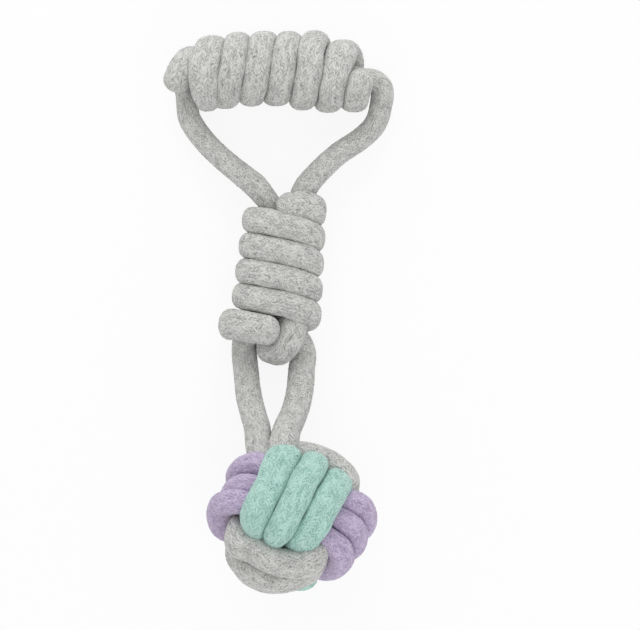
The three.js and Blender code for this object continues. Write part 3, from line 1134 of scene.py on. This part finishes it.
@dataclass
class GripWinding:
    """The rope wound round the grip."""

    rope: Rope
    turns: int = 7
    strand: float = 12.0  # diameter of the strand inside
    strand_right: float = 9.0  # and where it comes out
    x: float = 1.8
    y: float = 102.3
    bow: float = 3.3
    bow_x: float = -3.5
    lobe_x: float = -42.8
    lobe_lean: float = 19.0  # millimetres to the right in a turn
    lobe_drop: float = 4.6
    lobe_swell: float = 0.6
    bulges: tuple[Bulge, ...] = (
        Bulge((0.35, 0.7), (0.75, 1.0), aside=3.0, wide=-1.5),
        Bulge((0.75, 1.0), (1.1, 1.35), aside=-1.0, wide=2.0),
        Bulge((4.5, 4.8), (5.8, 6.1), out=1.4),
        Bulge((5.9, 6.15), (6.4, 6.6), aside=1.1, wide=2.2),
    )
    first: float = -0.07
    last: float = 6.98
    curl_out: tuple[float, float] = (0.15, 0.75)  # turns in which the lobe becomes a helix
    samples: int = 3000
    slack: Wobble = Wobble(seed=11, sway=0.3, swell=0.014, wavelength=34.0)

    @property
    def half(self) -> float:
        """Half the distance from the first turn to the last."""
        return (self.turns - 1) * self.rope.pitch / 2

    @property
    def z(self) -> float:
        """Height of the grip's axis."""
        return self.strand / 2 + self.rope.clearance + self.rope.wound_thick - self.rope.flat_cut

    def axis(self, x: np.ndarray) -> np.ndarray:
        """Finds points on the bowed axis.

        Args:
            x: Where they are.

        Returns:
            The points.
        """
        x = np.asarray(x, float)
        held = np.clip(x, self.x - self.half, self.x + self.half)
        y = self.y - self.bow * ((held - self.bow_x) / self.half) ** 2
        return np.stack([x, y, np.full_like(x, self.z)], axis=-1)

    def core(self, x: np.ndarray) -> np.ndarray:
        """Diameter of the strand inside."""
        to_right = np.clip((np.asarray(x, float) - self.x) / self.half, 0, 1)
        return mixed(self.strand, self.strand_right, to_right**2)

    def line(self, step: float) -> RopeLine:
        """Winds the rope.

        Args:
            step: Distance from one point to the next.

        Returns:
            The winding's line.
        """
        turn = np.linspace(self.first, self.last, self.samples)
        helix = self.x - self.half + (turn - 1) * self.rope.pitch
        curl = self.lobe_x + self.lobe_lean * (turn - self.first)
        freed = ramp(turn, *self.curl_out)
        aside, out, wider = Bulge.summed(self.bulges, turn)
        x = mixed(curl, helix, freed) + aside
        angle = math.pi / 2 - 2 * math.pi * turn
        outs = np.stack([np.zeros_like(angle), np.cos(angle), np.sin(angle)], axis=1)
        drawn = self.lobe_drop * (1 - freed)
        radius = self.core(x) / 2 + self.rope.clearance + self.rope.wound_thick / 2 - drawn
        points = self.axis(x) + outs * (radius + out)[:, None]
        thick = np.full_like(turn, self.rope.wound_thick)
        wide = self.rope.soft_wide + self.lobe_swell * (1 - freed) + wider
        powers = mixed(ROUND_POWER, self.rope.pressed, freed)
        return RopeLine.wound(points, outs, thick, wide, powers, step)

    def build(self, maker: RopeMaker, cotton: Dressing) -> None:
        """Makes and dresses the winding.

        Args:
            maker: Makes the rope.
            cotton: Its material.
        """
        line = self.line(maker.step).loosened(self.slack)
        winding = maker.rope("grip_winding_rope", line, RopeEnd.ROUND, RopeEnd.ROUND)
        cotton.dress(winding)
        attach(winding, Body.GRIP.value)
        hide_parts("grip_winding")


@dataclass
class WrappedKnot:
    """The winding that holds the two strands together, and the bight tucked under it."""

    rope: Rope
    top_y: float = 36.3
    top_tuck: float = 0.02
    low_tuck: float = 4.98
    top_drop: tuple[float, float] = (2.2, 1.8)  # down the knot and in, where the winding starts
    top_free: float = 0.32
    sag: float = 0.9
    widening: float = 0.033  # share by which each turn is wider than the one above
    middle_turn: float = 2.6
    tilt: float = 5.1
    x: float = -1.3
    tail_start: float = 4.45
    tail_spread: float = 4.0
    tail_lift: float = 2.2
    tail_swell: float = 1.6
    tail_drop: float = 1.3
    spread_turns: float = 0.3
    lift_start: float = 4.65
    shoulder: Bulge = Bulge.near(0.17, 0.13, aside=1.2, wide=1.6)  # aside is up the knot
    samples: int = 3000
    slack: Wobble = Wobble(seed=23, sway=0.25, swell=0.014, wavelength=31.0)
    squeezed_stops: tuple[float, ...] = (42, 37, 28, 19, 10, 3)
    tuck: tuple[Stop, ...] = (
        (6.2, 1.0, 14.0, 11.6),
        (5.9, -5.2, 16.9, 12.2),
        (4.1, -11.4, 18.7, 12.0),
        (0.2, -16.4, 16.8, 11.8),
        (-4.0, -15.8, 14.2, 11.0),
    )

    @property
    def bend(self) -> float:
        """Radius of the oval's round sides."""
        return self.rope.squeezed / 2 + self.rope.clearance + self.rope.wound_thick / 2

    @property
    def pair(self) -> float:
        """Distance of each strand from the axis."""
        return (self.rope.squeezed + self.rope.clearance) / 2

    @property
    def z(self) -> float:
        """Height of the knot's axis."""
        return self.bend + self.rope.wound_thick / 2 - self.rope.flat_cut

    @property
    def side(self) -> np.ndarray:
        """The way from the axis to the right strand."""
        lean = math.tan(math.radians(self.tilt))
        return np.array([1, -lean, 0]) / math.hypot(1, lean)

    def axis(self, y: np.ndarray) -> np.ndarray:
        """Finds points on the tilted axis.

        Args:
            y: Where they are.

        Returns:
            The points.
        """
        y = np.asarray(y, float)
        x = self.x + y * math.tan(math.radians(self.tilt))
        return np.stack([x, y, np.full_like(y, self.z)], axis=-1)

    def strand_stops(self, sign: int) -> list[Stop]:
        """Stops of a squeezed strand, from the top of the knot down.

        Args:
            sign: 1 for the right strand, -1 for the left one.

        Returns:
            The stops.
        """
        places = self.axis(np.array(self.squeezed_stops)) + sign * self.pair * self.side
        return [(*map(float, place), self.rope.squeezed) for place in places]

    def _oval(self, turn: np.ndarray, spread: np.ndarray) -> tuple[np.ndarray, ...]:
        """Follows the oval from the middle of the front, to the right and round.

        Args:
            turn: Turns made.
            spread: How far the left side bulges out.

        Returns:
            Distance to the side, height and the angle that the rope faces.
        """
        flat, bend = self.pair, self.bend
        curve = math.pi * bend
        whole = 2 * curve + 4 * flat
        run = (turn - np.floor(turn)) * whole
        right = math.pi / 2 - (run - flat) / bend
        left = -math.pi / 2 - (run - 3 * flat - curve) / bend
        zones = [run < flat, run < flat + curve, run < 3 * flat + curve, run < 3 * flat + 2 * curve]
        front, back = np.full_like(run, math.pi / 2), np.full_like(run, -math.pi / 2)
        sides = [
            run,
            flat + bend * np.cos(right),
            2 * flat + curve - run,
            -flat - spread + bend * np.cos(left),
        ]
        homeward = -(whole - run) / flat * (flat + spread)
        aside = np.select(zones, sides, homeward)
        angle = np.select(zones, [front, right, back, left], front)
        return aside, bend * np.sin(angle), angle

    def line(self, step: float) -> RopeLine:
        """Winds the rope.

        Args:
            step: Distance from one point to the next.

        Returns:
            The winding's line.
        """
        turn = np.linspace(self.top_tuck, self.low_tuck, self.samples)
        freed = ramp(turn, self.tail_start, self.tail_start + self.spread_turns)
        spread = self.tail_spread * freed
        lift = self.tail_lift * ramp(turn, self.lift_start, self.low_tuck)
        aside, height, angle = self._oval(turn, spread)
        up = np.array([0.0, 0.0, 1.0])
        outs = np.cos(angle)[:, None] * self.side + np.sin(angle)[:, None] * up
        sag = self.sag * (1 - np.cos(2 * math.pi * turn)) / (2 * math.pi)
        held = 1 - ramp(turn, self.top_tuck, self.top_free)
        down, sunk = self.top_drop
        full = self.shoulder.share(turn)
        drop = down * held + self.tail_drop * freed - self.shoulder.aside * full
        points = self.axis(self.top_y - (turn - 1 + sag) * self.rope.pitch - drop)
        rise = height + lift - sunk * held
        aside = aside * (1 + self.widening * (turn - self.middle_turn))
        points = points + aside[:, None] * self.side + rise[:, None] * up
        thick = np.full_like(turn, self.rope.wound_thick)
        wide = self.rope.soft_wide + self.tail_swell * freed + self.shoulder.wide * full
        powers = mixed(self.rope.pressed, ROUND_POWER, freed)
        return RopeLine.wound(points, outs, thick, wide, powers, step)

    def build(self, maker: RopeMaker, cotton: Dressing) -> None:
        """Makes and dresses the winding and the bight.

        Args:
            maker: Makes the rope.
            cotton: Its material.
        """
        line = self.line(maker.step).loosened(self.slack)
        winding = maker.rope("knot_winding_rope", line, RopeEnd.ROUND, RopeEnd.ROUND)
        bight_line = RopeLine.along_route(self.tuck, maker.step)
        bight = maker.rope("knot_bight_rope", bight_line, RopeEnd.ROUND, RopeEnd.ROUND)
        for piece, node in ((winding, "knot_winding"), (bight, "knot_tuck")):
            cotton.dress(piece)
            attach(piece, Body.KNOT.value)
            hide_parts(node)


@dataclass
class MainRope:
    """The rope that runs from the ball up one side, through the grip and down the other."""

    rope: Rope
    grip: GripWinding
    knot: WrappedKnot
    handle_fold: Fold = Fold(Body.KNOT, Body.HANDLE, 56.5, 5.0, 11.0)
    grip_fold: Fold = Fold(Body.HANDLE, Body.GRIP, 82.0, 7.0, 7.0)
    loop_fold: Fold = Fold(Body.KNOT, Body.LOOP, -28.8, 6.5, 7.0)
    ball_fold: Fold = Fold(Body.LOOP, Body.BALL, -49.0, 7.0, 5.0)
    leg_seam: float = 71.0  # Y at which two lengths meet on each handle leg
    loop_seam: float = -38.6  # and on each leg of the loop
    knot_seam: float = 20.0  # and inside the knot
    core_stops: tuple[float, ...] = (-34.5, -23, -11, 2, 14, 26, 35)
    grip_left: tuple[Stop, ...] = (
        (-38.6, 87.4, 8.8, 9.2),
        (-38.9, 89.8, 8.6, 9.0),
        (-39.6, 92.8, 9.0, 8.4),
        (-40.6, 95.4, 9.8, 8.0),
        (-40.6, 98.2, 11.0, 7.6),
        (-38.6, 99.8, 12.4, 7.6),
    )
    grip_right: tuple[Stop, ...] = (
        (40.0, 97.6, 14.5, 8.2),
        (42.9, 94.6, 13.0, 9.2),
        (43.4, 90.6, 11.2, 9.7),
        (42.8, 86.9, 9.8, 9.4),
    )

    def _left_side(self) -> list[Stop]:
        """Lists the stops from the ball up the left side to the grip.

        Returns:
            The stops.
        """
        leg, loop = self.rope.leg, self.rope.loop
        neck = [
            (-3.2, -68.0, 37.8, 8.4),
            (-5.0, -64.6, 37.4, 9.4),
            (-7.0, -61.0, 36.0, 10.4),
            (-8.2, -57.2, 33.4, 11.0),
            (-8.7, -53.3, 30.2, 11.0),
        ]
        loop_leg = [
            (-9.0, self.ball_fold.y, 26.4, 11.0),
            (-10.9, -42.4, 21.4, 10.8),
            (-12.6, -35.6, 16.6, 10.8),
            (-13.5, self.loop_fold.y, 12.4, loop),
            (-14.0, -23.7, 10.2, loop),
            (-14.6, -17.6, 9.0, loop),
            (-14.3, -12.4, 9.8, 10.2),
            (-10.4, -7.2, 11.9, 9.0),
        ]
        squeezed = self.knot.strand_stops(-1)[::-1]
        handle_leg = [
            (-6.6, 49.0, 13.6, 9.6),
            (-10.2, 53.2, 13.4, 10.2),
            (-14.2, self.handle_fold.y, 13.2, 9.8),
            (-23.7, 64.3, 12.4, leg),
            (-30.9, 71.4, 10.7, leg),
            (-35.4, 77.3, 9.7, leg),
            (-37.9, self.grip_fold.y, 9.2, leg),
        ]
        return [*neck, *loop_leg, *squeezed, *handle_leg]

    def _right_side(self) -> list[Stop]:
        """Lists the stops from the grip down the right side to the ball.

        Returns:
            The stops.
        """
        leg, loop = self.rope.leg, self.rope.loop
        handle_leg = [
            (41.7, self.grip_fold.y, 9.2, leg),
            (39.4, 77.6, 9.7, leg),
            (34.3, 72.8, 10.5, leg),
            (24.4, 66.0, 12.3, leg),
            (14.5, self.handle_fold.y, 13.2, 9.8),
            (11.5, 52.6, 13.4, 10.2),
            (9.2, 48.6, 13.6, 9.6),
        ]
        squeezed = self.knot.strand_stops(1)
        loop_leg = [
            (5.2, -7.6, 11.9, 9.0),
            (8.6, -12.4, 9.8, 9.8),
            (10.3, -17.6, 9.0, loop),
            (9.5, -23.7, 10.2, 11.1),
            (9.2, self.loop_fold.y, 12.4, 11.3),
            (8.3, -35.6, 16.6, 11.3),
            (6.4, -42.4, 21.4, 11.3),
            (3.5, self.ball_fold.y, 27.0, 11.6),
        ]
        neck = [
            (2.5, -53.0, 32.2, 12.2),
            (1.8, -56.6, 36.8, 12.4),
            (1.5, -60.2, 39.0, 11.0),
            (1.3, -63.8, 39.4, 9.4),
            (1.2, -67.2, 39.2, 8.4),
        ]
        return [*handle_leg, *squeezed, *loop_leg, *neck]

    def line(self, step: float) -> RopeLine:
        """Lays the whole rope.

        Args:
            step: Distance from one point to the next.

        Returns:
            The rope's line, from the ball's left side round to its right.
        """
        places = self.grip.axis(np.array(self.core_stops))
        widths = self.grip.core(np.array(self.core_stops))
        core = [(*map(float, p), float(w)) for p, w in zip(places, widths, strict=True)]
        stops = [*self._left_side(), *self.grip_left, *core, *self.grip_right, *self._right_side()]
        return RopeLine.along_route(stops, step)

    def build(self, maker: RopeMaker, cotton: Dressing) -> None:
        """Makes and dresses the rope in lengths that meet at seams, each paired with one fold.

        Args:
            maker: Makes the rope.
            cotton: Its material.
        """
        line = self.line(maker.step)
        seams = [self.loop_seam, self.knot_seam, self.leg_seam]
        cuts = [0]
        for y in [*seams, *reversed(seams)]:
            cuts.append(line.crossing(y, cuts[-1]))
        cuts.append(len(line.points) - 1)
        lengths = (
            ("loop_low_left_rope", self.ball_fold, ("loop_leg_left", "neck_strand_left")),
            ("loop_top_left_rope", self.loop_fold, ("knot_strand_left",)),
            ("handle_low_left_rope", self.handle_fold, ("knot_strand_left",)),
            (
                "handle_top_rope",
                self.grip_fold,
                ("grip_strand", "handle_leg_left", "handle_leg_right"),
            ),
            ("handle_low_right_rope", self.handle_fold, ("knot_strand_right",)),
            ("loop_top_right_rope", self.loop_fold, ("knot_strand_right",)),
            ("loop_low_right_rope", self.ball_fold, ("loop_leg_right", "neck_strand_right")),
        )
        for (name, fold, nodes), first, last in zip(lengths, cuts, cuts[1:], strict=False):
            part = line.cut(first, last)
            piece = maker.rope(name, part)
            cotton.dress(piece)
            fold.bend(piece, maker.drawing)
            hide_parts(*nodes)
            if fold is self.grip_fold:
                path = maker.drawing.metres(part.points)
                part.length() * MM


class BallColour(Enum):
    """The ball's three ropes."""

    MINT = "mint"
    LILAC = "lilac"
    GREY = "grey"


@dataclass(frozen=True)
class BallTurns:
    """How one rope goes round the ball."""

    over: tuple[int, int, int]  # towards the faces on which it shows
    under: tuple[int, int, int]  # towards those on which it passes under
    aside: tuple[int, int, int]  # from strand to strand
    radius: float  # of the strands' centres where they show
    pitch: float  # from strand to strand there
    lean: tuple[float, float]  # how far they lean aside on the faces over and under
    bulges: tuple[Bulge, ...]


@dataclass
class WovenBall:
    """Three ropes woven into a ball, and the filling inside."""

    x: float = 5.2
    y: float = -85.9
    tilt: float = -24
    turn: float = -25
    passes: int = 3
    rope: float = 10.4
    flat_cut: float = 1.3
    press: float = 0.45  # how far neighbouring strands press into each other
    pressed: float = 2.4  # power of a strand's section there
    soft_thick: float = 10.6
    under_pitch: float = 7.65
    under_wide: float = 6.9
    under_thick: float = 5.6
    under_radius: float = 19.0
    dive: tuple[float, float] = (29, 73)  # degrees from a face in which a strand goes under
    squeeze: tuple[float, float] = (33, 66)  # and thins
    shift: float = 44  # degrees either side of a hidden pass in which a strand moves over
    tuck: float = 6.0  # how far a rope's ends go into the filling
    tuck_turns: float = 0.08  # turns in which they do so
    filling_radius: float = 17.5
    filling_lumps: float = 0.9
    lump_rate: float = 5.0  # how closely they lie
    samples: int = 4000
    slack: Wobble = Wobble(seed=31, sway=0.3, swell=0.014, wavelength=37.0)  # the first rope's
    turns: dict[BallColour, BallTurns] = field(
        default_factory=lambda: {
            BallColour.MINT: BallTurns(
                over=(0, 0, 1),
                under=(0, 1, 0),
                aside=(1, 0, 0),
                radius=28.6,
                pitch=12.4,
                lean=(0.0, 1.3),
                bulges=(
                    Bulge.near(0.59, 0.14, out=1.6),
                    Bulge.near(0.75, 0.26, aside=-0.8),
                    Bulge((0.64, 0.87), (0.98, 1.06), aside=-1.2, wide=2.2),
                    Bulge.near(1.75, 0.26, aside=-1.6, wide=-0.8),
                    Bulge.near(2.41, 0.15, aside=1.8, out=0.6, wide=2.8),
                    Bulge.near(2.61, 0.1, aside=-1.0, out=-1.2),
                    Bulge.near(2.75, 0.26, aside=-2.0),
                ),
            ),
            BallColour.LILAC: BallTurns(
                over=(1, 0, 0),
                under=(0, 0, 1),
                aside=(0, 1, 0),
                radius=30.0,
                pitch=9.8,
                lean=(1.5, 0.0),
                bulges=(
                    Bulge.near(0.25, 0.2, aside=0.8),
                    Bulge.near(0.75, 0.2, out=-2.2),
                    Bulge.near(1.25, 0.2, out=-4.0),
                    Bulge.near(1.75, 0.2, out=-1.8),
                    Bulge.near(2.25, 0.2, out=-1.2),
                ),
            ),
            BallColour.GREY: BallTurns(
                over=(0, 1, 0),
                under=(1, 0, 0),
                aside=(0, 0, 1),
                radius=27.4,
                pitch=11.4,
                lean=(0.0, 5.0),
                bulges=(
                    Bulge.near(0.135, 0.11, aside=2.4, out=-0.8),
                    Bulge.near(0.26, 0.11, out=1.2),
                    Bulge.near(0.375, 0.1, out=-1.5),
                    Bulge.near(1.125, 0.12, aside=1.6, out=-0.8),
                    Bulge.near(1.26, 0.1, out=2.2),
                    Bulge.near(1.375, 0.1, out=-2.6),
                    Bulge.near(2.25, 0.16, out=0.8),
                    Bulge.near(2.39, 0.09, out=3.0),
                ),
            ),
        }
    )

    @property
    def centre(self) -> np.ndarray:
        """The ball's middle."""
        lift = self.turns[BallColour.MINT].radius + self.rope / 2 - self.flat_cut
        return np.array([self.x, self.y, lift])

    def posed(self, vectors: np.ndarray) -> np.ndarray:
        """Turns vectors as the ball lies.

        Args:
            vectors: The vectors, row by row.

        Returns:
            The turned vectors.
        """
        a, b = math.radians(self.tilt), math.radians(self.turn)
        about_x = np.array(
            [[1, 0, 0], [0, math.cos(a), -math.sin(a)], [0, math.sin(a), math.cos(a)]]
        )
        about_z = np.array(
            [[math.cos(b), -math.sin(b), 0], [math.sin(b), math.cos(b), 0], [0, 0, 1]]
        )
        return vectors @ (about_z @ about_x).T

    def line(self, colour: BallColour, step: float) -> RopeLine:
        """Winds one colour.

        Args:
            colour: Which one.
            step: Distance from one point to the next.

        Returns:
            The winding's line.
        """
        way = self.turns[colour]
        turn = np.linspace(0, self.passes, self.samples)
        aside, out, wider = Bulge.summed(way.bulges, turn)
        degrees = 90 + 360 * turn
        folded = degrees % 180
        from_face = np.minimum(folded, 180 - folded)
        shown = 1 - ramp(from_face, *self.dive)
        full = 1 - ramp(from_face, *self.squeeze)
        done = np.round(turn)
        moved = ramp(360 * (turn - done), -self.shift, self.shift)
        strand = done - 1 + moved - (self.passes - 1) / 2
        angle = np.radians(degrees)
        offset = strand * mixed(self.under_pitch, way.pitch, full)
        reach = np.sqrt(mixed(self.under_radius, way.radius, shown) ** 2 - offset**2)
        from_end = np.minimum(turn, self.passes - turn)
        reach = reach + out - self.tuck * (1 - ramp(from_end, 0, self.tuck_turns))
        offset = offset + way.lean[0] * np.cos(angle) + way.lean[1] * np.sin(angle) + aside
        points = np.outer(reach * np.cos(angle), way.over)
        points = points + np.outer(reach * np.sin(angle), way.under) + np.outer(offset, way.aside)
        outs = unit(points)
        thick = mixed(self.under_thick, self.soft_thick, full)
        wide = mixed(self.under_wide, way.pitch + self.press, full) + wider
        points, outs = self.posed(points) + self.centre, self.posed(outs)
        return RopeLine.wound(points, outs, thick, wide, np.full_like(turn, self.pressed), step)

    def _fill(self, drawing: Drawing) -> bpy.types.Object:
        """Packs lumpy fibre inside the ball.

        Args:
            drawing: Where the ball lies.

        Returns:
            The filling.
        """
        mesh = bpy.data.meshes.new("ball_filling")
        build = bmesh.new()
        bmesh.ops.create_icosphere(build, subdivisions=5, radius=1.0)
        for vertex in build.verts:
            x, y, z = vertex.co * self.lump_rate
            lump = math.sin(x + 2 * math.sin(y)) + math.sin(1.7 * y + z) + math.sin(1.3 * z - x)
            size = self.filling_radius + self.filling_lumps * lump / 2
            vertex.co = Vector(drawing.metres(np.array(vertex.co) * size + self.centre))
        build.to_mesh(mesh)
        build.free()
        mesh.shade_smooth()
        LOG.info("ball_filling: %d faces", len(mesh.polygons))
        return placed("ball_filling", mesh)

    def build(
        self,
        maker: RopeMaker,
        cottons: dict[BallColour, Dressing],
        fibre: Dressing,
    ) -> None:
        """Makes and dresses the ball.

        Args:
            maker: Makes the ropes.
            cottons: Their materials.
            fibre: The filling's material.
        """
        pieces = []
        for seed, colour in enumerate(BallColour, start=self.slack.seed):
            slack = replace(self.slack, seed=seed)
            line = self.line(colour, maker.step).loosened(slack)
            piece = maker.rope(f"ball_{colour.value}_rope", line)
            cottons[colour].dress(piece)
            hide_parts(f"ball_{colour.value}_winding")
            pieces.append(piece)
        filling = self._fill(maker.drawing)
        fibre.dress(filling)
        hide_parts("ball_core")
        pieces.append(filling)
        for piece in pieces:
            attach(piece, Body.BALL.value)


@dataclass(frozen=True)
class Lamp:
    """A large soft lamp that faces the toy."""

    name: str
    place: tuple[float, float, float]
    power: float
    size: float = 900.0

    def build(self, drawing: Drawing) -> None:
        """Hangs the lamp.

        Args:
            drawing: Where the toy lies.
        """
        data = bpy.data.lights.new(self.name, "AREA")
        data.energy = self.power
        data.size = self.size * MM
        lamp = placed(self.name, data)
        lamp.location = drawing.metres(self.place)
        aim = Vector(drawing.metres((0, 0, 0))) - lamp.location
        lamp.rotation_euler = aim.to_track_quat("-Z", "Y").to_euler()


@dataclass
class Studio:
    """Camera, floor and soft light."""

    picture_wide: float = 268.8  # millimetres across the picture at the ropes' height
    aim: tuple[float, float, float] = (17.2, -1.3, 15.0)
    lens: float = 500.0
    sensor: float = 36.0
    clip: tuple[float, float] = (0.01, 100.0)  # metres
    sky: float = 0.74
    lamps: tuple[Lamp, ...] = (
        Lamp("window", (-120.0, 900.0, 520.0), 4.4),
        Lamp("fill", (250.0, -800.0, 700.0), 2.2),
    )
    floor_half: float = 3000.0
    floor_drop: float = 0.15  # below the toy's rests
    floor_paint: float = 0.92
    floor_white: float = 0.88  # share of plain white that the camera sees on the floor

    def camera(self, drawing: Drawing) -> None:
        """Stands the camera straight above the toy, with +Y up in the picture.

        Args:
            drawing: Where the toy lies.
        """
        data = bpy.data.cameras.new("camera")
        data.lens = self.lens
        data.sensor_width = self.sensor
        data.clip_start, data.clip_end = self.clip
        camera = placed("camera", data)
        height = self.picture_wide * self.lens / self.sensor
        place = np.array(self.aim) + np.array([0, 0, height])
        camera.location = drawing.metres(place)
        bpy.context.scene.camera = camera

    def _floor(self, drawing: Drawing) -> None:
        """Lays a white floor that keeps the toy's shadow.

        Args:
            drawing: Where the toy lies.
        """
        surface = Surface("white_floor")
        grey = self.floor_paint
        paint = surface.node("ShaderNodeBsdfDiffuse", {}, {"Color": (grey, grey, grey, 1)})
        white = surface.node("ShaderNodeEmission", {}, {"Color": WHITE, "Strength": 1.0})
        surface.finish(surface.mix(surface.seen() * self.floor_white, paint, white))
        mesh = bpy.data.meshes.new("floor")
        half, drop = self.floor_half, -self.floor_drop
        edges = [(-half, -half, drop), (half, -half, drop), (half, half, drop), (-half, half, drop)]
        mesh.from_pydata([tuple(drawing.metres(e)) for e in edges], [], [(0, 1, 2, 3)])
        mesh.materials.append(surface.owner)
        placed("floor", mesh)

    def _sky(self) -> None:
        """Lights the toy softly from all round, before a white backdrop."""
        world = bpy.data.worlds.new("studio")
        bpy.context.scene.world = world
        surface = Surface("studio", world)
        light, white = (
            surface.node("ShaderNodeBackground", {}, {"Color": WHITE, "Strength": strength})
            for strength in (self.sky, 1.0)
        )
        surface.finish(surface.mix(surface.seen(), light, white), "ShaderNodeOutputWorld")

    def build(self, drawing: Drawing) -> None:
        """Sets up the floor and the light.

        Args:
            drawing: Where the toy lies.
        """
        bpy.context.scene.view_settings.view_transform = "Standard"
        self._floor(drawing)
        for lamp in self.lamps:
            lamp.build(drawing)
        self._sky()


GREY_COTTON = Cotton(
    slot="grey_cotton",
    base=(211, 211, 208),
    shaded_hollow=(154, 154, 152),
    pale=(228, 228, 225),
    dark=(106, 107, 106),
    dark_share=0.6,
)
MINT_COTTON = Cotton(
    slot="mint_cotton",
    base=(183, 221, 211),
    shaded_hollow=(128, 172, 161),
    pale=(206, 233, 226),
    dark=(98, 138, 130),
    dark_share=0.45,
)
LILAC_COTTON = Cotton(
    slot="lilac_cotton",
    base=(203, 187, 215),
    shaded_hollow=(150, 134, 169),
    pale=(221, 209, 230),
    dark=(118, 103, 138),
    dark_share=0.45,
)


def main() -> None:
    """Dresses the part, piece by piece."""
    logging.basicConfig(level=logging.INFO, format="%(name)s %(message)s")
    bpy.ops.object.select_all(action="SELECT")
    bpy.ops.object.delete()
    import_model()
    ball = WovenBall()
    drawing = Drawing.of_part(ball.centre)
    studio = Studio()
    studio.camera(drawing)
    maker = RopeMaker(drawing)
    rope = Rope()
    grip = GripWinding(rope)
    knot = WrappedKnot(rope)
    grey = GREY_COTTON.dressing(maker.braid)
    MainRope(rope, grip, knot).build(maker, grey)
    grip.build(maker, grey)
    knot.build(maker, grey)
    cottons = {
        BallColour.MINT: MINT_COTTON.dressing(maker.braid),
        BallColour.LILAC: LILAC_COTTON.dressing(maker.braid),
        BallColour.GREY: grey,
    }
    ball.build(maker, cottons, Filling().dressing())
    studio.build(drawing)


if __name__ == "__main__":
    main()
